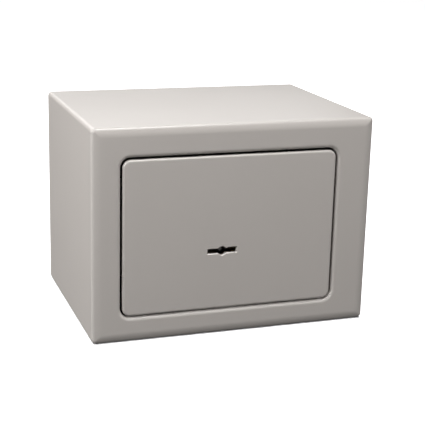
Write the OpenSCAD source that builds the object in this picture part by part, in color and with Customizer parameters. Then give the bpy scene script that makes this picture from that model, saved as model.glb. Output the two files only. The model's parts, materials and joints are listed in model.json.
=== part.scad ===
// Small key-operated steel safe: welded body, inset door on concealed gooseneck hinges,
// two round bolts and a six-lever double-bit lock.
// Frame: +Z up, +X to the right of a person facing the door, the door faces -Y,
// and the origin is at the middle of the base. All sizes are in millimetres.

/* [Body] */
// Overall width
body_w = 230; // [226:1:250]
// Overall height
body_h = 170; // [168:1:190]
// Overall depth
body_d = 170; // [140:1:260]
// Thickness of the body's sheet steel
sheet = 2; // [1.5:0.25:2.25]
// Outside radius of the folds along the body's walls and round its back
fold_r = 3.5; // [3.5:0.25:5]
// Radius of the tight edge round the front
edge_r = 3; // [2.5:0.25:3]
// Radius of the gentle curve that the front face takes before its edge
brow_r = 14; // [10:1:16]
// Angle that this curve turns through before the edge, in degrees
brow_turn = 25; // [18:1:28]
// Spacing of the two wall anchor holes, and of the two floor anchor holes
anchor_spacing = 120; // [80:5:150]
// Diameter of an anchor hole
anchor_d = 10; // [8:0.5:12]

/* [Doorway] */
// Width of the front frame on the lock side
lock_margin = 22.25; // [21:0.25:23]
// Width of the front frame on the hinge side
hinge_margin = 30; // [30:0.25:32]
// Width of the front frame above the doorway
head_margin = 23.25; // [21:0.25:24]
// Width of the front frame below the doorway
sill_margin = 19.75; // [19.5:0.25:23]
// Corner radius of the doorway
doorway_r = 8; // [7:0.5:10]
// Outside radius of the bend that turns the frame inwards around the doorway
lip_r = 3; // [3:0.25:4]
// Depth of that inturned lip
lip_d = 6.5; // [5:0.25:6.5]

/* [Door] */
// Gap between the door and the doorway at the sides and the top
door_gap = 1.7; // [1.5:0.1:2.2]
// Gap below the door
sill_gap = 1.2; // [1.1:0.1:2.2]
// Thickness of the door plate
door_t = 3; // [3:0.5:4]
// Radius of the rim around the door's front face
rim_r = 1.8; // [0.8:0.2:2]

/* [Bolts] */
// Diameter of a locking bolt
bolt_d = 14; // [12:0.5:14]
// Travel of the bolts
bolt_travel = 12; // [10:0.5:12]
// Height of the lower bolt's axis
bolt_low_z = 56; // [55:1:58]

/* [Lock] */
// Distance of the key's axis from the safe's centre plane
key_x = -10.7; // [-11.5:0.1:-10]
// Height of the key's axis
key_z = 68.5; // [68:0.5:72]
// Length of the keyhole from end to end
keyhole_l = 24; // [22:0.2:24]
// Height of the keyhole's narrow wing
keyhole_h = 3.8; // [3:0.1:4]

/* [Hidden] */
$fn = 64;
eps = 0.01;
mid_z = body_h / 2;
inside_x = body_w / 2 - sheet;

// Depth of the folded rims of the front frame and of the back panel
pan_d = 7;
brow_w = edge_r + (brow_r - edge_r) * sin(brow_turn);

// Doorway and door, seen from the front
way_x0 = -body_w / 2 + lock_margin;
way_x1 = body_w / 2 - hinge_margin;
way_w = way_x1 - way_x0;
way_h = body_h - head_margin - sill_margin;
way_x = (way_x0 + way_x1) / 2;
way_z = sill_margin + way_h / 2;
door_w = way_w - 2 * door_gap;
door_h = way_h - door_gap - sill_gap;
door_z = sill_margin + sill_gap + door_h / 2;
door_r = doorway_r - door_gap;
door_x0 = way_x0 + door_gap;

// Hinge: the pivot stands behind the frame, and the arm goes round the lip in a gooseneck
pivot_x = way_x1 + 12;
pivot_y = 11;
pin_r = 3;
arm_t = 4;
arm_z = 34;
eye_r = 6;
neck_r = 17;
neck_w = 6;
arm_foot = 45;
washer_t = 1;
bracket_t = 4;
bracket_z = arm_z - washer_t - bracket_t;

// Boltwork, from the lock side to the hinge side
bolt_y = lip_d + 1.1 + bolt_d / 2;
bolt_tip_x = door_x0 + 1.7;
bar_x = -62;
bar_t = 3;
guide_x = door_x0 + 5.7;
guide_t = 2.5;
bolt_high_z = body_h - bolt_low_z;
screw_hole_r = 3;

// Lock, measured from the key's axis across and from the door's front face inwards
barrel_r = 3.5;
slot_play = 0.4;
case_x0 = -40;
case_x1 = 36;
case_h = 44;
case_wall = 2;
case_base = 3;
base_h = 66;
base_y = door_t;
lever_count = 6;
lever_t = 1.5;
lever_pitch = 1.7;
lever_y0 = base_y + case_base + 0.3;
throw_y = lever_y0 + lever_count * lever_pitch + 0.1;
throw_t = 3.2;
cap_y = throw_y + throw_t + 0.2;
cap_t = 2;
boss = [[-35.5, 17.5], [-35.5, -17.5], [31.5, 17.5], [31.5, -17.5]];
boss_r = 3.5;
stud = [[-30, 28], [-30, -28], [26, 28], [26, -28]];
post_x = 26;
post_r = 2.5;
stump = 3.6;
stump_x = -18.4;
talon_x = 6;
// How far each lever's key window reaches above the key's axis: the cuts of the key
key_cut = [10.4, 9.2, 9.8, 8.8, 10.2, 9.4];
window_h = 19.2;
// How far each lever's spring lets it drop, in degrees
lever_drop = [3.2, 2.6, 3.0, 2.4, 3.4, 2.8];

// Cover over the mechanism on the inside of the door
cover_x0 = door_x0 + 8.9;
cover_x1 = 46;
cover_z0 = 33;
cover_y = 28;
cover_t = 1;
standoff = [[-74, 39.5], [-74, 130.5], [38, 39.5], [38, 130.5]];

mat_t = 2.5;

paint = [0.66, 0.64, 0.61];
blackened = [0.14, 0.14, 0.15];
zinc = [0.74, 0.74, 0.72];
bright_steel = [0.80, 0.80, 0.81];
cast = [0.58, 0.59, 0.60];
brass = [0.78, 0.64, 0.33];
felt = [0.20, 0.21, 0.22];
nylon = [0.90, 0.89, 0.84];

// ---------- Helpers ----------

// Everything is drawn with the front face at y = 0 and moved back to the middle of the base
module placed() {
  translate([0, -body_d / 2, 0]) children();
}

// A flat shape in X and Z becomes a plate from y0 to y0 + t
module plate_y(y0, t) {
  translate([0, y0 + t, 0]) rotate([90, 0, 0]) linear_extrude(t) children();
}

// A cylinder along Y from y0 to y1
module rod_y(x, z, r, y0, y1) {
  translate([x, y0, z]) rotate([-90, 0, 0]) cylinder(r = r, h = y1 - y0);
}

// A cylinder along X from x0 to x1
module rod_x(x0, x1, y, z, r) {
  translate([x0, y, z]) rotate([0, 90, 0]) cylinder(r = r, h = x1 - x0);
}

// A box from its low corner to its high corner
module block(low, high) {
  translate(low) cube(high - low);
}

// A rectangle with round corners about the origin
module round_rect(w, h, r) {
  square([w - 2 * r, h], center = true);
  square([w, h - 2 * r], center = true);
  for (x = [-1, 1], z = [-1, 1])
    translate([x * (w / 2 - r), z * (h / 2 - r)]) circle(r);
}

// Sweeps a section (outwards in x, depth in y) round a rectangle in X and Z
module sweep_rect(w, h, r) {
  for (k = [0:3]) {
    long = k % 2 == 0 ? h : w;
    wide = k % 2 == 0 ? w : h;
    rotate([0, 90 * k, 0]) {
      linear_extrude(long - 2 * r, center = true) translate([wide / 2, 0]) children();
      translate([wide / 2 - r, 0, long / 2 - r])
        rotate([-90, 0, 0]) rotate([0, 0, -90])
          rotate_extrude(angle = 90) translate([r, 0]) children();
    }
  }
}

// Section of a sheet that turns from the front face into a side wall of the given depth
module outer_bend(r, depth) {
  intersection() {
    translate([0, r]) difference() {
      circle(r);
      circle(r - sheet);
    }
    square([r, r]);
  }
  translate([r - sheet, r]) square([sheet, depth - r]);
}

// Section of a sheet that turns from the front face inwards round an opening
module lip_bend(r, depth) {
  intersection() {
    translate([r, r]) difference() {
      circle(r);
      circle(r - sheet);
    }
    square([r, r]);
  }
  translate([0, r]) square([sheet, depth - r]);
}

// Draws a lower part, or its mirror image about the safe's middle height
module low_or_high(high) {
  if (high) translate([0, 0, body_h]) mirror([0, 0, 1]) children();
  else children();
}

// Puts lock parts on the key's axis
module on_key_axis() {
  translate([key_x, 0, key_z]) children();
}

// ---------- Body ----------

// Points along an arc, its angles counted from the direction of the front
function arc_points(centre, r, from, to, steps) =
  [for (k = [0:steps]) centre + r * [sin(from + (to - from) * k / steps),
                                     -cos(from + (to - from) * k / steps)]];

// Section across the front of the body, inset by a sheet's thickness for its inside:
// a flat face, the gentle curve, then the tight edge
module brow_section(w, inset, depth) {
  gentle = [w / 2 - brow_w, brow_r];
  tight = [w / 2 - edge_r, brow_r - (brow_r - edge_r) * cos(brow_turn)];
  half = concat(arc_points(gentle, brow_r - inset, 0, brow_turn, 6),
                arc_points(tight, edge_r - inset, brow_turn + 8, 90, 7),
                [[w / 2 - inset, depth]]);
  polygon(concat(half, [for (k = [len(half) - 1:-1:0]) [-half[k][0], half[k][1]]]));
}

// The front of the body as a solid, for the frame's outside or its inside
module brow_block(inset, depth) {
  intersection() {
    linear_extrude(body_h, center = true) brow_section(body_w, inset, depth);
    rotate([0, 90, 0]) linear_extrude(body_w, center = true) brow_section(body_h, inset, depth);
    plate_y(-1, depth + 2) round_rect(body_w - 2 * inset, body_h - 2 * inset, fold_r - inset);
  }
}

// Front of the body: a frame with a curved rim outside and an inturned lip round the doorway
module front_frame() {
  color(paint) translate([0, 0, mid_z]) {
    difference() {
      brow_block(0, pan_d);
      brow_block(sheet, pan_d + 1);
      translate([way_x, 0, way_z - mid_z]) plate_y(-1, pan_d + 2)
        round_rect(way_w + 2 * lip_r, way_h + 2 * lip_r, doorway_r + lip_r);
    }
    translate([way_x, 0, way_z - mid_z])
      sweep_rect(way_w, way_h, doorway_r) lip_bend(lip_r, lip_d);
  }
}

// Four walls folded from one strip, with two anchor holes in the floor
module body_wrap() {
  color(paint) difference() {
    translate([0, 0, mid_z]) plate_y(pan_d, body_d - 2 * pan_d) difference() {
      round_rect(body_w, body_h, fold_r);
      round_rect(body_w - 2 * sheet, body_h - 2 * sheet, fold_r - sheet);
    }
    for (x = [-1, 1])
      translate([x * anchor_spacing / 2, body_d / 2, -1]) cylinder(d = anchor_d, h = sheet + 2);
  }
}

// Back of the body: a shallow pan with two anchor holes
module back_panel() {
  flat_w = body_w - 2 * fold_r;
  flat_h = body_h - 2 * fold_r;
  color(paint) difference() {
    translate([0, body_d, mid_z]) mirror([0, 1, 0]) {
      plate_y(0, sheet) square([flat_w, flat_h], center = true);
      sweep_rect(flat_w, flat_h, 0) outer_bend(fold_r, pan_d);
    }
    for (x = [-1, 1])
      rod_y(x * anchor_spacing / 2, mid_z, anchor_d / 2, body_d - sheet - 1, body_d + 1);
  }
}

// Felt mat on the floor, cut out round the anchor holes
module floor_mat() {
  side = 4;
  color(felt) difference() {
    block([-inside_x + side, 10, sheet], [inside_x - side, body_d - 8, sheet + mat_t]);
    for (x = [-1, 1])
      translate([x * anchor_spacing / 2, body_d / 2, 0]) cylinder(d = anchor_d + 10, h = 10);
  }
}

// ---------- Hinges ----------

// Fixed bracket: a level plate that holds the pin, with a tab welded to the side wall
module hinge_bracket(high) {
  back_y = 18;
  tab_t = 3;
  color(paint) low_or_high(high) difference() {
    union() {
      block([pivot_x, pan_d, bracket_z], [inside_x, back_y, bracket_z + bracket_t]);
      translate([pivot_x, pivot_y, bracket_z]) cylinder(r = eye_r + 1, h = bracket_t);
      block([inside_x - tab_t, pan_d, bracket_z - 14], [inside_x, back_y, bracket_z + eps]);
    }
    translate([pivot_x, pivot_y, bracket_z - 1]) cylinder(r = pin_r, h = bracket_t + 2);
  }
}

// Hinge pin pressed into the bracket, with a head below and a groove for its clip
module hinge_pin(high) {
  clip_z = arm_z + arm_t + 0.3;
  color(bright_steel) low_or_high(high) translate([pivot_x, pivot_y, 0]) {
    translate([0, 0, bracket_z - 2]) cylinder(r = 4.5, h = 2);
    translate([0, 0, bracket_z]) cylinder(r = pin_r, h = clip_z - bracket_z);
    translate([0, 0, clip_z]) cylinder(r = 2.5, h = 0.8);
    translate([0, 0, clip_z + 0.8]) cylinder(r = pin_r, h = 1.2);
  }
}

// Retaining rings in the grooves of both pins
module hinge_pin_clips() {
  color(bright_steel) for (high = [false, true])
    low_or_high(high) translate([pivot_x, pivot_y, arm_z + arm_t + 0.4]) difference() {
      cylinder(r = 4.8, h = 0.6);
      translate([0, 0, -1]) cylinder(r = 2.55, h = 3);
    }
}

// Nylon washers between the brackets and the arms
module hinge_washers() {
  play = 0.05;
  color(nylon) for (high = [false, true])
    low_or_high(high) translate([pivot_x, pivot_y, bracket_z + bracket_t]) difference() {
      cylinder(r = eye_r, h = washer_t - play);
      translate([0, 0, -1]) cylinder(r = pin_r + 0.05, h = 3);
    }
}

// Gooseneck arm welded to the back of the door: seen from above it goes round the lip
module hinge_arm(high) {
  rear = pivot_y - door_t;
  leg_side = 2.3;
  color(paint) low_or_high(high) translate([pivot_x, pivot_y, arm_z])
    mirror([1, 0, 0]) linear_extrude(arm_t) difference() {
      union() {
        circle(eye_r);
        translate([-eye_r, 0]) square([eye_r + leg_side, neck_r + 4]);
        intersection() {
          difference() {
            circle(neck_r + neck_w);
            circle(neck_r);
          }
          translate([-eye_r, -rear]) square([60, 60]);
        }
        translate([neck_r - 0.6, -rear]) square([arm_foot - neck_r, neck_w]);
      }
      circle(pin_r + 0.05);
    }
}

// Bracket across the lock-side channel whose nose stops the closed door
module door_stop(high) {
  z0 = 30;
  z1 = 40;
  nose = 3;
  nose_x = door_x0 + 3.2;
  color(blackened) low_or_high(high) {
    block([-inside_x, pan_d + eps, z0], [nose_x, pan_d + 2, z1]);
    block([nose_x - nose, door_t + 0.2, z0], [nose_x, pan_d + 1, z1]);
    block([way_x0 - sheet, lip_d, z0], [way_x0, pan_d + 1, z1]);
  }
}

// ---------- Door ----------

// The double-bit keyhole: a round hole with a plain wing and a stepped wing
module keyhole_shape() {
  half = keyhole_l / 2;
  step_x = 4.4;
  step = 0.6;
  circle(barrel_r);
  square([keyhole_l, keyhole_h], center = true);
  translate([step_x, -keyhole_h / 2]) square([half - step_x, keyhole_h + step]);
}

// Door plate with a rounded rim round its front face
module door_panel() {
  color(paint) difference() {
    translate([way_x, 0, door_z]) {
      plate_y(0, door_t) square([door_w - 2 * door_r, door_h - 2 * door_r], center = true);
      sweep_rect(door_w - 2 * door_r, door_h - 2 * door_r, 0) {
        square([door_r - rim_r, door_t]);
        translate([door_r - rim_r, rim_r]) {
          square([rim_r, door_t - rim_r]);
          intersection() {
            circle(rim_r);
            translate([0, -rim_r]) square([rim_r, rim_r]);
          }
        }
      }
    }
    on_key_axis() plate_y(-1, door_t + 2) keyhole_shape();
  }
}

// Folded bracket welded inside the door's lock edge: its holes carry the bolts
module bolt_guide() {
  foot_w = 14;
  z0 = bolt_low_z - 10;
  color(zinc) difference() {
    union() {
      block([guide_x, door_t, z0], [guide_x + guide_t, 24, body_h - z0]);
      block([guide_x, door_t, z0], [guide_x + foot_w, door_t + guide_t, body_h - z0]);
    }
    for (z = [bolt_low_z, bolt_high_z])
      rod_x(guide_x - 1, guide_x + guide_t + 1, bolt_y, z, bolt_d / 2 + 0.1);
  }
}

// Spacers welded to the door that the cover is screwed to
module cover_standoffs() {
  color(zinc) for (p = standoff) difference() {
    rod_y(p[0], p[1], 4, door_t, cover_y - cover_t);
    rod_y(p[0], p[1], 1.65, cover_y - 13, cover_y);
  }
}

// Folded cover over the lock and the boltwork, notched beside the bolts
module door_cover() {
  h = body_h - 2 * cover_z0;
  w = cover_x1 - cover_x0;
  mid = (cover_x0 + cover_x1) / 2;
  foot_y = door_t + 0.2;
  color(paint) difference() {
    translate([mid, 0, mid_z]) difference() {
      plate_y(foot_y, cover_y - foot_y) round_rect(w, h, 3);
      plate_y(foot_y - 1, cover_y - cover_t - foot_y + 1)
        round_rect(w - 2 * cover_t, h - 2 * cover_t, 2);
    }
    block([cover_x0 - 1, 0, bolt_low_z - 10.5], [cover_x0 + 2, 24.2, bolt_high_z + 10.5]);
    for (p = standoff)
      rod_y(p[0], p[1], 2.2, cover_y - 3, cover_y + 1);
  }
}

// Pan-head screws with a cross recess
module pan_screw(x, z, y, head_r, head_h, shank_r, shank_l) {
  difference() {
    union() {
      rod_y(x, z, head_r, y, y + head_h);
      rod_y(x, z, shank_r, y - shank_l, y + eps);
    }
    for (a = [0, 90])
      translate([x, y + head_h, z]) rotate([0, a, 0])
        cube([head_r * 1.1, 1.8, head_r * 0.25], center = true);
  }
}

module cover_screws() {
  color(zinc) for (p = standoff)
    pan_screw(p[0], p[1], cover_y, 3.6, 2.2, 1.6, 10);
}

// ---------- Lock ----------

// Studs welded to the back of the door, and their nuts
module lock_studs() {
  color(zinc) on_key_axis() for (p = stud)
    rod_y(p[0], p[1], 2, door_t, door_t + 8);
}

module lock_nuts() {
  nut_y = base_y + case_base;
  color(zinc) on_key_axis() for (p = stud) difference() {
    translate([p[0], nut_y, p[1]]) rotate([-90, 0, 0]) cylinder(r = 4.04, h = 3.2, $fn = 6);
    rod_y(p[0], p[1], 2.05, nut_y - 1, nut_y + 4);
  }
}

// Cast case with a round seat for the curtain, four screw bosses and a way out for the bolt
module lock_case() {
  mid = (case_x0 + case_x1) / 2;
  w = case_x1 - case_x0;
  color(cast) on_key_axis() difference() {
    union() {
      translate([mid, 0, 0]) {
        plate_y(base_y, case_base) round_rect(w, base_h, 4);
        plate_y(base_y + case_base, cap_y - base_y - case_base) difference() {
          square([w, case_h], center = true);
          square([w - 2 * case_wall, case_h - 2 * case_wall], center = true);
        }
      }
      for (p = boss)
        rod_y(p[0], p[1], boss_r, base_y + case_base, cap_y);
    }
    rod_y(0, 0, 13.05, base_y - 1, base_y + case_base + 1);
    rod_y(0, 0, 14.6, base_y - 1, base_y + 1.2);
    for (p = stud)
      rod_y(p[0], p[1], 2.15, base_y - 1, base_y + case_base + 1);
    for (p = boss)
      rod_y(p[0], p[1], 1.5, cap_y - 11, cap_y + 1);
    block([case_x0 - 1, throw_y - 0.2, -8.2], [case_x0 + case_wall + 1, cap_y + 1, 8.2]);
  }
}

module lock_cap() {
  mid = (case_x0 + case_x1) / 2;
  color(zinc) on_key_axis() difference() {
    translate([mid, 0, 0]) plate_y(cap_y, cap_t) round_rect(case_x1 - case_x0, case_h, 2);
    for (p = boss)
      rod_y(p[0], p[1], 1.7, cap_y - 1, cap_y + cap_t + 1);
    rod_y(0, 0, 1.5, cap_y - 1, cap_y + cap_t + 1);
  }
}

module cap_screws() {
  color(zinc) on_key_axis() for (p = boss)
    pan_screw(p[0], p[1], cap_y + cap_t, 2.8, 1.8, 1.45, 9);
}

// Post that the levers turn on
module lever_post() {
  color(bright_steel) on_key_axis() rod_y(post_x, 0, post_r, base_y + case_base, cap_y);
}

// Pin that the hollow key slides on, riveted to the cap
module key_pin() {
  tip_y = 6;
  color(bright_steel) on_key_axis() {
    rod_y(0, 0, 1.4, tip_y, cap_y + cap_t + 0.2);
    rod_y(0, 0, 2.4, cap_y + cap_t, cap_y + cap_t + 1);
  }
}

// Comb spring under the top of the case, with a finger on each lever
module lever_spring() {
  color(bright_steel) on_key_axis() {
    block([12, lever_y0, 19.2], [27, lever_y0 + lever_count * lever_pitch, 19.9]);
    for (i = [0:lever_count - 1])
      plate_y(lever_y0 + i * lever_pitch, lever_t - 0.1)
        polygon([[12.4, 19.9], [12.4, 19.2], [-8, 13.7], [-9.4, 13.8], [-9.4, 14.4], [-8.4, 14.4]]);
  }
}

// Round curtain in the case's seat, which turns with the key
module key_curtain() {
  color(brass) on_key_axis() difference() {
    union() {
      rod_y(0, 0, 14.5, base_y + 0.1, base_y + 1.1);
      rod_y(0, 0, 13, base_y + 1, base_y + case_base);
    }
    plate_y(base_y - 1, case_base + 2) {
      circle(barrel_r + slot_play);
      square([keyhole_l + 2 * slot_play, keyhole_h + 3 * slot_play], center = true);
    }
  }
}

// One lever: a window for the key, two pockets joined by the gate, and a heel that sets its drop
module lever(i) {
  tip_x = -35;
  window = 12.6;
  gate = stump + 0.4;
  pocket_1 = [stump_x - 2.5, stump_x + 2.5];
  pocket_2 = [stump_x - bolt_travel - 2.6, stump_x - bolt_travel + 2.5];
  heel = -(boss[0][1] - boss_r) + 0.15 + (post_x - tip_x) * sin(lever_drop[i]);
  color(brass) on_key_axis() plate_y(lever_y0 + i * lever_pitch, lever_t) difference() {
    union() {
      translate([-window - 3.6, -13.4]) square([2 * window + 6.6, 26.8]);
      translate([window, -5]) square([post_x - window, 10]);
      translate([post_x, 0]) circle(5);
      translate([tip_x, heel]) square([20, 9.4 - heel]);
    }
    translate([-window, key_cut[i] - window_h]) square([2 * window, window_h]);
    translate([post_x, 0]) circle(post_r + 0.05);
    translate([pocket_1[0], -6]) square([pocket_1[1] - pocket_1[0], 12]);
    translate([pocket_2[0], -7]) square([pocket_2[1] - pocket_2[0], 14]);
    translate([pocket_2[0], -gate / 2]) square([pocket_1[0] - pocket_2[0] + 1, gate]);
  }
}

// Sliding bolt of the lock: the stump passes the levers' gates, and the key drives the talon
module lock_bolt() {
  tail_x = bar_x + bar_t - key_x + 0.3;
  bar_top = -9.2;
  color(bright_steel) on_key_axis() difference() {
    union() {
      plate_y(throw_y, throw_t) polygon([
        [tail_x, -8], [tail_x, 8], [-13.4, 8], [-13.4, bar_top], [18, bar_top],
        [18, -19.7], [-18, -19.7], [-18, -8]]);
      block([stump_x - stump / 2, lever_y0, -stump / 2],
            [stump_x + stump / 2, throw_y + 1, stump / 2]);
    }
    block([talon_x - 1.8, throw_y - 1, bar_top - 4], [talon_x + 1.8, throw_y + throw_t + 1, 0]);
    for (z = [-5, 5])
      rod_y(-55 - key_x, z, 2, throw_y - 1, throw_y + throw_t + 1);
  }
}

// ---------- Boltwork ----------

// Upright bar that carries both bolts, with a tab fixed to the lock's bolt
module bolt_bar() {
  tab_y = throw_y + throw_t;
  tab_x1 = -51.3;
  z0 = bolt_low_z - 9;
  color(zinc) difference() {
    union() {
      block([bar_x, bolt_y - 6, z0], [bar_x + bar_t, tab_y + bar_t, body_h - z0]);
      block([bar_x, tab_y, key_z - 9], [tab_x1, tab_y + bar_t, key_z + 9]);
    }
    for (z = [bolt_low_z, bolt_high_z])
      rod_x(bar_x - 1, bar_x + bar_t + 1, bolt_y, z, screw_hole_r + 0.2);
    for (z = [-5, 5])
      rod_y(-55, key_z + z, 2.2, tab_y - 1, tab_y + bar_t + 1);
  }
}

module tail_screws() {
  color(zinc) for (z = [-5, 5])
    pan_screw(-55, key_z + z, throw_y + throw_t + bar_t, 3.4, 2.2, 1.95, 6);
}

// Round bolt with a chamfered tip and a tapped hole in its other end
module bolt(z) {
  chamfer = 1.2;
  color(bright_steel) translate([0, bolt_y, z]) rotate([0, 90, 0]) difference() {
    union() {
      translate([0, 0, bolt_tip_x]) cylinder(r1 = bolt_d / 2 - chamfer, r2 = bolt_d / 2, h = chamfer);
      translate([0, 0, bolt_tip_x + chamfer])
        cylinder(r = bolt_d / 2, h = bar_x - bolt_tip_x - chamfer);
    }
    translate([0, 0, bar_x - 14]) cylinder(r = screw_hole_r, h = 15);
  }
}

// Hex-head screws that hold the bolts to the bar
module bolt_screws() {
  head_x = bar_x + bar_t;
  color(zinc) for (z = [bolt_low_z, bolt_high_z]) {
    translate([head_x, bolt_y, z]) rotate([0, 90, 0]) cylinder(r = 5.5, h = 4, $fn = 6);
    rod_x(bar_x - 12, head_x + eps, bolt_y, z, screw_hole_r - 0.05);
  }
}

// ---------- Nodes ----------

placed() front_frame();
placed() body_wrap();
placed() back_panel();
placed() floor_mat();
placed() hinge_bracket(false);  // lower_hinge_bracket
placed() hinge_bracket(true);  // upper_hinge_bracket
placed() hinge_pin(false);  // lower_hinge_pin
placed() hinge_pin(true);  // upper_hinge_pin
placed() hinge_washers();
placed() hinge_pin_clips();
placed() door_stop(false);  // lower_door_stop
placed() door_stop(true);  // upper_door_stop
placed() door_panel();
placed() hinge_arm(false);  // lower_hinge_arm
placed() hinge_arm(true);  // upper_hinge_arm
placed() bolt_guide();
placed() cover_standoffs();
placed() door_cover();
placed() cover_screws();
placed() lock_studs();
placed() lock_nuts();
placed() lock_case();
placed() lock_cap();
placed() cap_screws();
placed() lever_post();
placed() key_pin();
placed() lever_spring();
placed() key_curtain();
placed() lever(0);  // lever_1
placed() lever(1);  // lever_2
placed() lever(2);  // lever_3
placed() lever(3);  // lever_4
placed() lever(4);  // lever_5
placed() lever(5);  // lever_6
placed() lock_bolt();
placed() bolt_bar();
placed() tail_screws();
placed() bolt(bolt_low_z);  // lower_bolt
placed() bolt(bolt_high_z);  // upper_bolt
placed() bolt_screws();
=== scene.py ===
import json
import math
import random
import bmesh
import bpy
from mathutils import Matrix, Vector


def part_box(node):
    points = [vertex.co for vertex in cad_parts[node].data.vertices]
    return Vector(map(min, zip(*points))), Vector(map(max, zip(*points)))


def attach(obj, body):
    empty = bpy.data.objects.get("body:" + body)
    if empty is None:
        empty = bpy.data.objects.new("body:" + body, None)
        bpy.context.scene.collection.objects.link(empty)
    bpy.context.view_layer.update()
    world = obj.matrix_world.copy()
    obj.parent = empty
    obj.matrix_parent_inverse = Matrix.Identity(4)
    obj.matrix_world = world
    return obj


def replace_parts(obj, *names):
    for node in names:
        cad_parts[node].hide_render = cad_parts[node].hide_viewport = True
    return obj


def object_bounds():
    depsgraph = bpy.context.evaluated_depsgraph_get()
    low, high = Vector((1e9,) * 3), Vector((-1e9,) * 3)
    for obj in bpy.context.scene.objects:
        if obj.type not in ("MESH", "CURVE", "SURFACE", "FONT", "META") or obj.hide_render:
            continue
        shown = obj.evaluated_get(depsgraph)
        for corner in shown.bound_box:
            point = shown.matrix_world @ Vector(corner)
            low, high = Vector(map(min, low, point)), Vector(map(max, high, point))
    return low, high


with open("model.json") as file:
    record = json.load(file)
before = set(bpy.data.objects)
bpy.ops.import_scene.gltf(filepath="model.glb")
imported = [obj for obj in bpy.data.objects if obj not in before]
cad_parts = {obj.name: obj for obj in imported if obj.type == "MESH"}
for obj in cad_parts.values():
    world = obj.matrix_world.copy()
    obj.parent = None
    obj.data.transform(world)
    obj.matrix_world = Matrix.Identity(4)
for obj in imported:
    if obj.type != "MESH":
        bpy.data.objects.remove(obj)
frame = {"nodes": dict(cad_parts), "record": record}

MM = 0.001
scene = bpy.context.scene
nodes = frame["nodes"]
cad_bounds = [list(corner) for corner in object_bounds()]

# Shape of the sheet-metal work that the nodes' boxes don't give, in metres
SHEET = 2 * MM
FOLD_R = 3.5 * MM
EDGE_R = 3 * MM
BROW_R = 14 * MM
BROW_TURN = math.radians(25)
DOORWAY_R = 8 * MM
LIP_R = 3 * MM
LIP_DEPTH = 6.5 * MM
DOOR_GAP = 1.7 * MM
SILL_GAP = 1.2 * MM
RIM_R = 1.8 * MM
RIM_CORNER_R = 0.8 * MM
MAT_HOLE_R = 10 * MM

# How finely the pieces are drawn
SUPPORT = 0.3 * MM
CORNER_STEPS = 12
EDGE_STEPS = 8
BROW_STEPS = 12


# ---------- Camera ----------

def place_camera():
    """The photo's view: from the front left and a little above, with a long lens."""
    yaw, pitch, roll = (math.radians(a) for a in (19.22, -15.60, 1.47))
    forward = Vector((math.sin(yaw) * math.cos(pitch), math.cos(yaw) * math.cos(pitch), math.sin(pitch)))
    level = Vector((math.cos(yaw), -math.sin(yaw), 0))
    right = math.cos(roll) * level + math.sin(roll) * level.cross(forward)
    up = right.cross(forward)
    camera = bpy.data.objects.new("camera", bpy.data.cameras.new("camera"))
    camera.data.lens = 95.44
    camera.data.sensor_width = 36
    turn = Matrix((right, up, -forward)).transposed().to_4x4()
    camera.matrix_world = Matrix.Translation((-0.2963, -0.8786, 0.3350)) @ turn
    scene.collection.objects.link(camera)
    scene.camera = camera


place_camera()


# ---------- Light ----------

def softbox(name, place, size, watts, mirrored=True):
    """A soft lamp aimed at the safe, which glossy surfaces reflect unless mirrored is False."""
    lamp = bpy.data.lights.new(name, "AREA")
    lamp.shape = "RECTANGLE"
    lamp.size, lamp.size_y = size
    lamp.energy = watts
    box = bpy.data.objects.new(name, lamp)
    box.location = place
    aim = Vector((0, 0, 0.1)) - Vector(place)
    box.rotation_euler = aim.to_track_quat("-Z", "Y").to_euler()
    box.visible_glossy = mirrored
    scene.collection.objects.link(box)


softbox("light_top_near", (0.1, -0.4, 1.2), (0.5, 0.4), 9.6)
softbox("light_top_left", (-1.4, -0.1, 1.4), (0.8, 0.8), 6.0)
softbox("light_back_top", (0, 1.8, 1.2), (2.4, 1.2), 15.0)
softbox("light_left", (-1.8, -0.2, 0.5), (1.2, 0.9), 2.4)
softbox("light_left_near", (-0.9, -0.5, 0.5), (0.4, 0.4), 5.8)
softbox("light_left_back", (-1.8, 1.0, 0.8), (1.6, 1.6), 30.0, mirrored=False)
softbox("light_front_right", (1.4, -1.8, 0.8), (1.5, 1.5), 18.0, mirrored=False)

studio = bpy.data.worlds.new("studio")
studio.use_nodes = True
studio.node_tree.nodes["Background"].inputs["Color"].default_value = (1, 1, 1, 1)
studio.node_tree.nodes["Background"].inputs["Strength"].default_value = 0.025
scene.world = studio
scene.view_settings.view_transform = "Standard"


# ---------- Materials ----------

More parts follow.
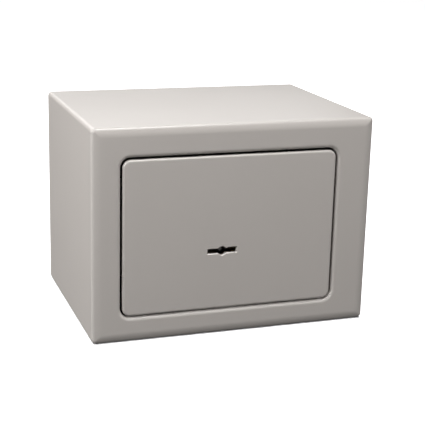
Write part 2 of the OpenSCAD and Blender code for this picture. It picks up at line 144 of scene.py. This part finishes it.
class Shader:
    """A node material, with short ways to add its texture, mixing and bump nodes."""

    def __init__(self, name, **sockets):
        self.material = bpy.data.materials.new(name)
        self.material.use_nodes = True
        self.tree = self.material.node_tree
        self.principled = self.tree.nodes["Principled BSDF"]
        self.coordinates = self.add("ShaderNodeTexCoord").outputs["Object"]
        for socket, value in sockets.items():
            self.principled.inputs[socket.replace("_", " ")].default_value = value

    def add(self, kind, **settings):
        node = self.tree.nodes.new(kind)
        for key, value in settings.items():
            setattr(node, key, value)
        return node

    def link(self, source, target):
        self.tree.links.new(source, target)

    def stretched(self, scale):
        mapping = self.add("ShaderNodeMapping")
        mapping.inputs["Scale"].default_value = scale
        self.link(self.coordinates, mapping.inputs["Vector"])
        return mapping.outputs["Vector"]

    def noise(self, scale, detail=2.0, vector=None):
        node = self.add("ShaderNodeTexNoise")
        node.inputs["Scale"].default_value = scale
        node.inputs["Detail"].default_value = detail
        self.link(vector or self.coordinates, node.inputs["Vector"])
        return node.outputs["Fac"]

    def ranged(self, value, to_low, to_high, from_low=0.3, from_high=0.7):
        node = self.add("ShaderNodeMapRange")
        for socket, number in (("From Min", from_low), ("From Max", from_high),
                               ("To Min", to_low), ("To Max", to_high)):
            node.inputs[socket].default_value = number
        self.link(value, node.inputs["Value"])
        return node.outputs["Result"]

    def mixed(self, factor, first, second):
        node = self.add("ShaderNodeMix", data_type="RGBA")
        self.link(factor, node.inputs["Factor"])
        for socket, colour in ((6, first), (7, second)):
            if isinstance(colour, tuple):
                node.inputs[socket].default_value = (*colour, 1)
            else:
                self.link(colour, node.inputs[socket])
        return node.outputs[2]

    def bumps(self, *layers):
        """Each layer is a height, its depth in metres and its strength."""
        normal = None
        for height, depth, strength in layers:
            node = self.add("ShaderNodeBump")
            node.inputs["Distance"].default_value = depth
            node.inputs["Strength"].default_value = strength
            self.link(height, node.inputs["Height"])
            if normal:
                self.link(normal, node.inputs["Normal"])
            normal = node.outputs["Normal"]
        self.link(normal, self.principled.inputs["Normal"])

    def colour(self, source):
        self.link(source, self.principled.inputs["Base Color"])

    def roughness(self, source):
        self.link(source, self.principled.inputs["Roughness"])


def powder_coat():
    """Baked powder paint: fine orange peel, faint clouding, and edges rubbed a little paler."""
    s = Shader("powder_coat", IOR=1.5)
    peel = s.noise(900, 2)
    clouds = s.noise(16, 3)
    grain = s.noise(2600, 1)
    tint = s.mixed(s.ranged(clouds, 0, 1), (0.552, 0.516, 0.486), (0.560, 0.524, 0.494))
    tint = s.mixed(s.ranged(grain, 0, 0.35), tint, (0.49, 0.46, 0.43))
    wear = s.add("ShaderNodeAttribute", attribute_name="wear").outputs["Fac"]
    rubbed = s.ranged(wear, 0, 0.35, 0, 1)
    s.colour(s.mixed(rubbed, tint, (0.66, 0.63, 0.60)))
    s.roughness(s.ranged(clouds, 0.275, 0.295))
    s.bumps((peel, 0.04 * MM, 0.25), (grain, 0.01 * MM, 0.2))
    return s.material


def metal(name, colour, roughness, scratches, bump, **sockets):
    """Bare or plated metal, with fine marks that run along X, Y and Z as scratches says."""
    s = Shader(name, Metallic=1.0, **sockets)
    marks = s.noise(1, 3, s.stretched(scratches))
    clouds = s.noise(60, 3)
    darker = tuple(c * 0.72 for c in colour)
    s.colour(s.mixed(s.ranged(clouds, 0, 0.8), colour, darker))
    s.roughness(s.ranged(marks, roughness - 0.07, roughness + 0.12))
    s.bumps((marks, bump, 0.4))
    return s.material


def felt():
    s = Shader("felt", Roughness=0.95, Sheen_Weight=0.35, Sheen_Roughness=0.6)
    fibres = s.noise(2200, 4, s.stretched((1, 1.7, 1)))
    tufts = s.noise(320, 4)
    s.colour(s.mixed(s.ranged(tufts, 0, 1), (0.045, 0.048, 0.052), (0.085, 0.088, 0.094)))
    s.bumps((tufts, 0.25 * MM, 0.6), (fibres, 0.12 * MM, 0.8))
    return s.material


def nylon():
    s = Shader("nylon", Roughness=0.5, Subsurface_Weight=0.15, Subsurface_Scale=0.002)
    grain = s.noise(1400, 2)
    s.colour(s.mixed(s.ranged(s.noise(150, 2), 0, 1), (0.80, 0.78, 0.71), (0.87, 0.86, 0.80)))
    s.bumps((grain, 0.02 * MM, 0.3))
    return s.material


MATERIALS = {
    "powder_coat": powder_coat(),
    "zinc_plate": metal("zinc_plate", (0.62, 0.63, 0.62), 0.42, (90, 900, 90), 0.006 * MM),
    "bright_steel": metal("bright_steel", (0.64, 0.64, 0.65), 0.38, (1800, 60, 60), 0.002 * MM),
    "cast_zinc": metal("cast_zinc", (0.40, 0.41, 0.42), 0.52, (700, 700, 700), 0.05 * MM),
    "brass": metal("brass", (0.72, 0.52, 0.22), 0.28, (60, 1200, 60), 0.008 * MM),
    # Near-black steel, darker than real black oxide, so the parts inside the keyhole read dark: a real
    # finish deepened into painted shade
    "black_oxide": metal("black_oxide", (0.018, 0.018, 0.02), 0.55, (500, 500, 500), 0.02 * MM),
    "felt": felt(),
    "nylon": nylon(),
}


# ---------- Mesh helpers ----------

def rect_ring(width, height, radius, y, centre, wear=0.0):
    """A ring of points round a rectangle with round corners in X and Z, with its wear."""
    points = []
    for quarter, (side, rise) in enumerate(((1, 1), (-1, 1), (-1, -1), (1, -1))):
        for step in range(CORNER_STEPS + 1):
            angle = math.pi / 2 * (quarter + step / CORNER_STEPS)
            points.append((centre[0] + side * (width / 2 - radius) + radius * math.cos(angle), y,
                           centre[1] + rise * (height / 2 - radius) + radius * math.sin(angle)))
    return points, wear


def arc_steps(count, backwards=False):
    """Angles of a quarter turn, in radians."""
    steps = [math.pi / 2 * k / count for k in range(count + 1)]
    return steps[::-1] if backwards else steps


def loft(name, rings, closed=False, capped=False):
    """Joins rings of equal count with quads: closed joins the last to the first, capped fills both ends."""
    count = len(rings[0][0])
    mesh = bpy.data.meshes.new(name)
    points = [point for ring, _ in rings for point in ring]
    faces = []
    for k in range(len(rings) if closed else len(rings) - 1):
        here, there = k * count, (k + 1) % len(rings) * count
        for i in range(count):
            j = (i + 1) % count
            faces.append((here + i, here + j, there + j, there + i))
    if capped:
        faces.append(tuple(range(count))[::-1])
        faces.append(tuple(range(len(points) - count, len(points))))
    mesh.from_pydata(points, [], faces)
    worn = mesh.attributes.new("wear", "FLOAT", "POINT")
    worn.data.foreach_set("value", [wear for ring, wear in rings for _ in ring])
    piece = bpy.data.objects.new(name, mesh)
    scene.collection.objects.link(piece)
    tidy(piece)
    return piece


def tidy(piece):
    """Merges doubled points and turns the faces outwards."""
    edit = bmesh.new()
    edit.from_mesh(piece.data)
    bmesh.ops.remove_doubles(edit, verts=edit.verts, dist=0.001 * MM)
    bmesh.ops.dissolve_degenerate(edit, edges=edit.edges, dist=0.001 * MM)
    bmesh.ops.recalc_face_normals(edit, faces=edit.faces)
    edit.to_mesh(piece.data)
    edit.free()


def cut(piece, *cutters):
    """Cuts the cutters out of the piece, and deletes them."""
    for cutter in cutters:
        modifier = piece.modifiers.new("cut", "BOOLEAN")
        modifier.operation = "DIFFERENCE"
        modifier.solver = "EXACT"
        modifier.object = cutter
    evaluated = piece.evaluated_get(bpy.context.evaluated_depsgraph_get())
    mesh = bpy.data.meshes.new_from_object(evaluated)
    piece.modifiers.clear()
    piece.data = mesh
    for cutter in cutters:
        bpy.data.objects.remove(cutter)


def dress(piece, body, slot, angle=32):
    """Smooth shading with sharp edges kept, then the slot's material and the body it rides on."""
    piece.data.shade_smooth()
    piece.data.set_sharp_from_angle(angle=math.radians(angle))
    piece.data.materials.clear()
    piece.data.materials.append(MATERIALS[slot])
    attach(piece, body)
    return piece


def turned(name, centre, axis, profile, sides=48):
    """A lathe shape: profile lists (distance along the axis, radius)."""
    axis = Vector(axis).normalized()
    across = axis.orthogonal().normalized()
    over = axis.cross(across)
    rings = []
    for along, radius in profile:
        ring = []
        for k in range(sides):
            angle = 2 * math.pi * k / sides
            offset = radius * (math.cos(angle) * across + math.sin(angle) * over)
            ring.append(tuple(Vector(centre) + along * axis + offset))
        rings.append((ring, 0.0))
    return loft(name, rings, capped=True)


def outline_ring(outline, y):
    return [(x, y, z) for x, z in outline], 0.0


def grown(outline, by):
    """An anticlockwise outline with every side moved outwards."""
    moved = []
    for k, point in enumerate(outline):
        before, after = Vector(outline[k - 1]), Vector(outline[(k + 1) % len(outline)])
        here = Vector(point)
        into, away = (here - before).normalized(), (after - here).normalized()
        normals = Vector((into.y, -into.x)), Vector((away.y, -away.x))
        mitre = (normals[0] + normals[1]) / (1 + normals[0].dot(normals[1]))
        moved.append(tuple(here + by * mitre))
    return moved


# ---------- Body ----------

low, high = (Vector(corner) for corner in cad_bounds)
width, _, height = high - low
body_centre = (0, (low.z + high.z) / 2)
door_low, door_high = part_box("door_panel")
frame_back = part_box("front_frame")[1].y
rear_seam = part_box("back_panel")[0].y
way_low = Vector((door_low.x - DOOR_GAP, door_low.z - SILL_GAP))
way_high = Vector((door_high.x + DOOR_GAP, door_high.z + DOOR_GAP))
way_size = way_high - way_low
way_centre = (way_low + way_high) / 2
front = low.y


def body_ring(inset, radius, y, wear=0.0):
    return rect_ring(width - 2 * inset, height - 2 * inset, radius, y, body_centre, wear)


def way_ring(offset, y, wear=0.0):
    return rect_ring(way_size.x + 2 * offset, way_size.y + 2 * offset, DOORWAY_R + offset, y,
                     way_centre, wear)


def back_rim(radius, backwards=False, steps=10):
    """Rings round the back's rounded edge, from its side to its face, or back again inside the sheet."""
    rings = []
    for angle in arc_steps(steps, backwards):
        wear = math.sin(2 * angle) if radius == FOLD_R else 0.0
        rings.append(body_ring(FOLD_R - radius * math.cos(angle), radius * math.cos(angle),
                               high.y - FOLD_R + radius * math.sin(angle), wear))
    return rings


def brow_rings(thick):
    """Rings over the front's rim, from the walls to the flat face: a tight edge, then a gentle curve."""
    brow_w = EDGE_R + (BROW_R - EDGE_R) * math.sin(BROW_TURN)
    tight_y = BROW_R - (BROW_R - EDGE_R) * math.cos(BROW_TURN)
    stations = []
    radius = EDGE_R - thick
    for k in range(EDGE_STEPS + 1):
        lean = math.pi / 2 + (BROW_TURN - math.pi / 2) * k / EDGE_STEPS
        stations.append((EDGE_R - radius * math.sin(lean), tight_y - radius * math.cos(lean),
                         math.sin(2 * lean)))
    radius = BROW_R - thick
    for k in range(1, BROW_STEPS + 1):
        lean = BROW_TURN * (1 - k / BROW_STEPS)
        stations.append((brow_w - radius * math.sin(lean), BROW_R - radius * math.cos(lean), 0.0))
    rings = [body_ring(thick, FOLD_R - thick, front + tight_y + SUPPORT)]
    for inset, deep, wear in stations:
        rings.append(body_ring(inset, max(FOLD_R - inset, RIM_CORNER_R), front + deep, wear))
    rings.append(body_ring(brow_w + SUPPORT, RIM_CORNER_R, front + thick))
    return rings


def shell_front():
    """The front frame: a curved rim outside, and a lip rolled inwards round the doorway."""
    soft = 0.25 * MM
    inner = LIP_R - SHEET
    rings = [body_ring(0, FOLD_R, frame_back), *brow_rings(0)]
    rings.append(way_ring(LIP_R + SUPPORT, front))
    for angle in arc_steps(10):
        rings.append(way_ring(LIP_R * (1 - math.sin(angle)), front + LIP_R * (1 - math.cos(angle)),
                              0.6 * math.sin(2 * angle)))
    rings.append(way_ring(0, front + LIP_R + SUPPORT))
    rings.append(way_ring(0, front + LIP_DEPTH - soft))
    rings.append(way_ring(soft, front + LIP_DEPTH, 0.8))
    rings.append(way_ring(SHEET - soft, front + LIP_DEPTH))
    rings.append(way_ring(SHEET, front + LIP_DEPTH - soft))
    for angle in arc_steps(6, backwards=True):
        rings.append(way_ring(LIP_R - inner * math.sin(angle), front + LIP_R - inner * math.cos(angle)))
    rings += brow_rings(SHEET)[::-1]
    rings.append(body_ring(SHEET, FOLD_R - SHEET, frame_back))
    return loft("shell_front", rings, closed=True)


def shell_wrap():
    """The four walls, with the floor's anchor holes."""
    rings = [body_ring(0, FOLD_R, frame_back), body_ring(0, FOLD_R, rear_seam),
             body_ring(SHEET, FOLD_R - SHEET, rear_seam), body_ring(SHEET, FOLD_R - SHEET, frame_back)]
    piece = loft("shell_wrap", rings, closed=True)
    cut(piece, *anchor_cutters("floor_anchor_holes", (0, 0, low.z), (0, 0, 1)))
    return piece


def shell_back():
    """The back: a shallow pan with two anchor holes."""
    rings = [body_ring(FOLD_R + 2 * SUPPORT, 0, high.y), body_ring(FOLD_R + SUPPORT, 0, high.y)]
    rings += back_rim(FOLD_R, backwards=True)
    rings += [body_ring(0, FOLD_R, high.y - FOLD_R - SUPPORT), body_ring(0, FOLD_R, rear_seam),
              body_ring(SHEET, FOLD_R - SHEET, rear_seam)]
    rings += back_rim(FOLD_R - SHEET, steps=6)
    rings.append(body_ring(FOLD_R + SUPPORT, 0, high.y - SHEET))
    piece = loft("shell_back", rings, capped=True)
    cut(piece, *anchor_cutters("wall_anchor_holes", (0, high.y, body_centre[1]), (0, 1, 0)))
    return piece


def mount(name):
    return next(m for m in frame["record"]["mounts"] if m["name"] == name)


def anchor_cutters(pattern, place, axis):
    """A pair of rods to cut a mount's two anchor holes."""
    dims = mount(pattern)["dims"]
    radius, spacing = dims["hole_r_mm"] * MM, dims["spacing_x_mm"] * MM
    centres = [Vector(place) + Vector((side * spacing / 2, 0, 0)) for side in (-1, 1)]
    return [turned("cutter", centre, axis, [(-4 * MM, radius), (4 * MM, radius)]) for centre in centres]


shells = ((shell_front(), "front_frame"), (shell_wrap(), "body_wrap"), (shell_back(), "back_panel"))
for piece, node in shells:
    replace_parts(dress(piece, "safe_body", "powder_coat"), node)


# ---------- Door ----------

door_centre = ((door_low.x + door_high.x) / 2, (door_low.z + door_high.z) / 2)
door_size = door_high - door_low
key_axis = Vector(mount("keyhole")["pos_m"])


def door_ring(inset, y, wear=0.0):
    return rect_ring(door_size.x - 2 * inset, door_size.z - 2 * inset, DOORWAY_R - DOOR_GAP - inset, y,
                     door_centre, wear)


def keyhole_outline():
    """Anticlockwise from the plain wing's lower corner, about the key's axis."""
    half, rise, barrel = 12 * MM, 1.9 * MM, 3.5 * MM
    step_x, step_rise = 4.4 * MM, 2.5 * MM
    meets = math.asin(rise / barrel)
    below = [(-barrel * math.cos(a), -barrel * math.sin(a)) for a in arc_between(meets, math.pi - meets)]
    above = [(barrel * math.cos(a), barrel * math.sin(a)) for a in arc_between(meets, math.pi - meets)]
    wings = [(half, -rise), (half, step_rise), (step_x, step_rise), (step_x, rise)]
    return [(-half, -rise), *below, *wings, *above, (-half, rise)]


def arc_between(start, end, steps=10):
    return [start + (end - start) * k / steps for k in range(steps + 1)]


def keyhole_cutter():
    outline = [(x + key_axis.x, z + key_axis.z) for x, z in keyhole_outline()]
    bevel = 0.55 * MM
    rings = [outline_ring(grown(outline, 1.5 * bevel), front - 0.5 * bevel),
             outline_ring(outline, front + bevel), outline_ring(outline, door_high.y + bevel)]
    return loft("cutter", rings, capped=True)


def door_plate():
    soft = 0.3 * MM
    rings = [door_ring(RIM_R + 2 * SUPPORT, front), door_ring(RIM_R + SUPPORT, front)]
    for angle in arc_steps(8, backwards=True):
        rings.append(door_ring(RIM_R * (1 - math.cos(angle)), front + RIM_R * (1 - math.sin(angle)),
                               0.8 * math.sin(2 * angle)))
    rings += [door_ring(0, front + RIM_R + SUPPORT), door_ring(0, door_high.y - soft),
              door_ring(soft, door_high.y), door_ring(soft + SUPPORT, door_high.y)]
    piece = loft("door_plate", rings, capped=True)
    cut(piece, keyhole_cutter())
    return piece


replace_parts(dress(door_plate(), "door", "powder_coat"), "door_panel")


# ---------- Inside of the door ----------

def corner_spots(node, inset):
    """Where the screws of a node stand in X and Z: at the corners of its box."""
    small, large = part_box(node)
    xs = {round(x, 6) for x in (small.x + inset, large.x - inset)}
    zs = {round(z, 6) for z in (small.z + inset, large.z - inset)}
    return [(x, z) for x in sorted(xs) for z in sorted(zs)]


def door_cover_sheet():
    """The folded cover, with real bends, the notch beside the bolts and four screw holes."""
    small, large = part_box("door_cover")
    centre = ((small.x + large.x) / 2, (small.z + large.z) / 2)
    size, corner, thick, bend = large - small, 3 * MM, 1 * MM, 1.6 * MM

    def ring(inset, y):
        return rect_ring(size.x - 2 * inset, size.z - 2 * inset, max(corner - inset, 0.2 * MM), y, centre)

    inner_bend = bend - thick
    rings = [ring(bend + SUPPORT, large.y - thick)]
    for angle in arc_steps(4, backwards=True):
        rings.append(ring(thick + inner_bend * (1 - math.cos(angle)),
                          large.y - thick - inner_bend * (1 - math.sin(angle))))
    rings += [ring(thick, small.y), ring(0, small.y), ring(0, large.y - bend - SUPPORT)]
    for angle in arc_steps(6):
        rings.append(ring(bend * (1 - math.cos(angle)), large.y - bend * (1 - math.sin(angle))))
    rings.append(ring(bend + SUPPORT, large.y))
    piece = loft("door_cover_sheet", rings, capped=True)
    above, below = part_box("upper_bolt")[1].z + 3.5 * MM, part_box("lower_bolt")[0].z - 3.5 * MM
    notch = block("cutter", (small.x - 1 * MM, small.y - 1 * MM, below),
                  (small.x + 2 * MM, large.y - 3.8 * MM, above))
    holes = [turned("cutter", (x, large.y, z), (0, 1, 0), [(-2 * MM, 2.2 * MM), (1 * MM, 2.2 * MM)])
             for x, z in corner_spots("cover_screws", 3.6 * MM)]
    cut(piece, notch, *holes)
    return piece


def block(name, small, large):
    (x0, y0, z0), (x1, y1, z1) = small, large
    rings = [([(x0, y0, z), (x1, y0, z), (x1, y1, z), (x0, y1, z)], 0.0) for z in (z0, z1)]
    return loft(name, rings, capped=True)


def pan_screws(name, node, head_r, head_h, shank_r):
    """Screws with domed heads and a tapered cross recess, all facing the back of the safe."""
    small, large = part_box(node)
    seat = large.y - head_h
    screws = []
    for x, z in corner_spots(node, head_r):
        profile = [(small.y - seat, shank_r * 0.8), (small.y - seat + 0.3 * MM, shank_r), (0, shank_r)]
        profile += [(0, head_r - 0.25 * MM), (0.25 * MM, head_r), (0.3 * head_h, head_r)]
        for angle in arc_steps(7)[1:]:
            profile.append((head_h * (0.3 + 0.7 * math.sin(angle)),
                            head_r * (0.35 + 0.65 * math.cos(angle))))
        screw = turned(name, (x, seat, z), (0, 1, 0), profile)
        turn = chance.uniform(0, math.pi / 2)
        cut(screw, *(recess_blade((x, large.y, z), head_r, turn + k * math.pi / 2) for k in (0, 1)))
        screws.append(screw)
    return joined(name, screws)


def recess_blade(place, head_r, turn):
    half, width, deep = 0.52 * head_r, 0.11 * head_r, 1.1 * MM
    blade = block("cutter", (-half, -deep, -width), (half, 1 * MM, width))
    for vertex in blade.data.vertices:
        if vertex.co.y < 0:
            vertex.co.x *= 0.45
            vertex.co.z *= 0.7
    blade.data.transform(Matrix.Translation(place) @ Matrix.Rotation(turn, 4, "Y"))
    return blade


def joined(name, pieces):
    """One mesh made of several."""
    edit = bmesh.new()
    for piece in pieces:
        edit.from_mesh(piece.data)
    mesh = bpy.data.meshes.new(name)
    edit.to_mesh(mesh)
    edit.free()
    for piece in pieces:
        bpy.data.objects.remove(piece)
    whole = bpy.data.objects.new(name, mesh)
    scene.collection.objects.link(whole)
    return whole


def threaded(name, node, pitch, radius):
    """Studs with a rolled thread, welded to the door."""
    small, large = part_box(node)
    length = large.y - small.y
    studs = []
    for x, z in corner_spots(node, radius):
        profile, along = [(0, radius - 0.1 * MM)], pitch
        while along < length - pitch:
            profile += [(along, radius - 0.35 * MM), (along + pitch / 2, radius)]
            along += pitch
        profile += [(length - 0.4 * MM, radius - 0.3 * MM), (length, radius - 0.6 * MM)]
        studs.append(turned(name, (x, small.y, z), (0, 1, 0), profile, sides=32))
    return joined(name, studs)


chance = random.Random(7)
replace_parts(dress(door_cover_sheet(), "door", "powder_coat"), "door_cover")
# Kind, body, then head radius, head height and shank radius in millimetres
SCREWS = (("cover", "door", 3.6, 2.2, 1.6),
          ("cap", "door", 2.8, 1.8, 1.45),
          ("tail", "boltwork", 3.4, 2.2, 1.95))
for kind, body, head_r, head_h, shank_r in SCREWS:
    piece = pan_screws(f"{kind}_pan_screws", f"{kind}_screws", head_r * MM, head_h * MM, shank_r * MM)
    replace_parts(dress(piece, body, "zinc_plate"), f"{kind}_screws")
studs = threaded("lock_threads", "lock_studs", 0.7 * MM, 2 * MM)
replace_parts(dress(studs, "door", "zinc_plate"), "lock_studs")


# ---------- Felt mat ----------

def felt_slab():
    """The mat on the floor: slightly uneven, with soft edges and two holes over the anchor holes."""
    small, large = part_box("floor_mat")
    size = large - small
    edge = [0, 0.3 * MM, 0.8 * MM, 1.6 * MM]

    def stops(length, cells):
        middle = [edge[-1] + (length - 2 * edge[-1]) * k / cells for k in range(1, cells)]
        return edge + middle + [length - e for e in reversed(edge)]

    across, along = stops(size.x, 72), stops(size.y, 50)
    waves = [(chance.uniform(40, 160), chance.uniform(40, 160), chance.uniform(0, 6)) for _ in range(6)]
    mesh = bpy.data.meshes.new("felt_mat")
    points, faces = [], []
    for top in (True, False):
        for v in along:
            for u in across:
                inward = min(u, size.x - u, v, size.y - v)
                drop = 0.9 * MM * max(0, 1 - inward / edge[-1]) ** 2
                wave = sum(math.sin(a * u + b * v + c) for a, b, c in waves) / len(waves)
                rise = size.z - drop - 0.2 * MM * (1 + wave) if top else 0.0
                points.append((small.x + u, small.y + v, small.z + rise))
    columns, rows = len(across), len(along)
    layer = columns * rows
    for r in range(rows - 1):
        for c in range(columns - 1):
            a = r * columns + c
            quad = (a, a + 1, a + 1 + columns, a + columns)
            faces.append(quad)
            faces.append(tuple(layer + k for k in reversed(quad)))
    border = [c for c in range(columns)] + [r * columns + columns - 1 for r in range(1, rows)]
    border += [(rows - 1) * columns + c for c in range(columns - 2, -1, -1)]
    border += [r * columns for r in range(rows - 2, 0, -1)]
    for a, b in zip(border, border[1:] + border[:1]):
        faces.append((a, a + layer, b + layer, b))
    mesh.from_pydata(points, [], faces)
    mat = bpy.data.objects.new("felt_mat", mesh)
    scene.collection.objects.link(mat)
    tidy(mat)
    spacing = mount("floor_anchor_holes")["dims"]["spacing_x_mm"] * MM
    rod = [(-3 * MM, MAT_HOLE_R), (6 * MM, MAT_HOLE_R)]
    cut(mat, *(turned("cutter", (side * spacing / 2, 0, small.z), (0, 0, 1), rod) for side in (-1, 1)))
    dress(mat, "safe_body", "felt", angle=60)
    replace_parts(mat, "floor_mat")


felt_slab()


# ---------- Welds ----------

def bead(start, end, radius=1.3 * MM):
    """A weld bead of overlapping ripples, thin at its ends and sunk in the joint."""
    start, end = Vector(start), Vector(end)
    way = (end - start).normalized()
    across = way.orthogonal().normalized()
    over = way.cross(across)
    length, pitch = (end - start).length, 1.0 * MM
    count, sides = max(3, round(length / pitch)), 14
    rings = []
    for k in range(count * 5 + 1):
        part = k % 5 / 5
        along = k / (count * 5)
        size = radius * (1 - 0.16 * part) * min(1, 0.35 + 6 * along, 0.35 + 6 * (1 - along))
        size *= 1 + chance.uniform(-0.03, 0.03)
        ring = []
        for i in range(sides):
            angle = 2 * math.pi * i / sides
            offset = size * (math.cos(angle) * across + math.sin(angle) * over)
            ring.append(tuple(start + along * length * way + offset))
        rings.append((ring, 0.0))
    return loft("bead", rings, capped=True)


def door_beads():
    """Along both sides of each arm's foot, and stitches along the bolt guide's foot."""
    beads = []
    for arm in ("lower_hinge_arm", "upper_hinge_arm"):
        small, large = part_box(arm)
        for z in (small.z, large.z):
            beads.append(bead((small.x + 1.5 * MM, door_high.y, z), (small.x + 25 * MM, door_high.y, z)))
    small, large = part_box("bolt_guide")
    foot_y = door_high.y + 0.2 * MM
    for share in (0.08, 0.42, 0.76):
        z = small.z + share * (large.z - small.z)
        beads.append(bead((large.x, foot_y, z), (large.x, foot_y, z + 14 * MM)))
    return joined("door_welds", beads)


def body_beads():
    """Where the hinge brackets' tabs and the door stops meet the side walls."""
    beads = []
    for bracket in ("lower_hinge_bracket", "upper_hinge_bracket"):
        small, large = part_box(bracket)
        beads.append(bead((large.x, large.y, small.z + 1 * MM), (large.x, large.y, large.z - 1 * MM)))
    for stop in ("lower_door_stop", "upper_door_stop"):
        small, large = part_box(stop)
        beads.append(bead((small.x, large.y, small.z + 0.5 * MM), (small.x, large.y, large.z - 0.5 * MM)))
    return joined("body_welds", beads)


dress(door_beads(), "door", "powder_coat", angle=75)
dress(body_beads(), "safe_body", "powder_coat", angle=75)


# ---------- Floor ----------

FLOOR_GLOW = 0.93
floor_mesh = bpy.data.meshes.new("floor")
reach = 8
floor_mesh.from_pydata([(-reach, -reach, 0), (reach, -reach, 0), (reach, reach, 0), (-reach, reach, 0)],
                       [], [(0, 1, 2, 3)])
floor = bpy.data.objects.new("floor", floor_mesh)
floor.location.z = low.z - 0.1 * MM
scene.collection.objects.link(floor)
pale = Shader("pale_floor", Roughness=0.6, Emission_Color=(1, 1, 1, 1))
pale.colour(pale.mixed(pale.ranged(pale.noise(3, 3), 0, 1), (0.88, 0.88, 0.88), (0.92, 0.92, 0.92)))
# The floor glows like a lit studio sweep; its glow is painted dark under the safe and fades back in just
# past the base's edges, a painted contact shadow
beside = pale.add("ShaderNodeVectorMath", operation="ABSOLUTE")
pale.link(pale.coordinates, beside.inputs[0])
apart = pale.add("ShaderNodeSeparateXYZ")
pale.link(beside.outputs["Vector"], apart.inputs["Vector"])
clear = pale.add("ShaderNodeMath", operation="MAXIMUM")
# Where the painted shadow at the base's edges fades from dark to full glow, across X and then Y
painted_shadow_fades = ((high.x - 1.4 * MM, high.x - 0.6 * MM), (high.y - 0.9 * MM, high.y + 1.1 * MM))
for i, (dark, bright) in enumerate(painted_shadow_fades):
    pale.link(pale.ranged(apart.outputs[i], 0, FLOOR_GLOW, dark, bright), clear.inputs[i])
pale.link(clear.outputs["Value"], pale.principled.inputs["Emission Strength"])
floor_mesh.materials.append(pale.material)
floor.visible_diffuse = False
floor.visible_glossy = False


# ---------- The CAD nodes that stay in view ----------

slots = {part["node"]: part["material_slot"] for part in frame["record"]["subparts"]}
for name, node in nodes.items():
    if node.hide_render:
        continue
    node.data.materials.clear()
    node.data.materials.append(MATERIALS[slots[name]])
    merged = node.modifiers.new("merge", "WELD")
    merged.merge_threshold = 0.002 * MM
    softened = node.modifiers.new("soften", "BEVEL")
    softened.width = 0.2 * MM
    softened.segments = 2
    softened.limit_method = "ANGLE"
    softened.angle_limit = math.radians(50)
    softened.harden_normals = True
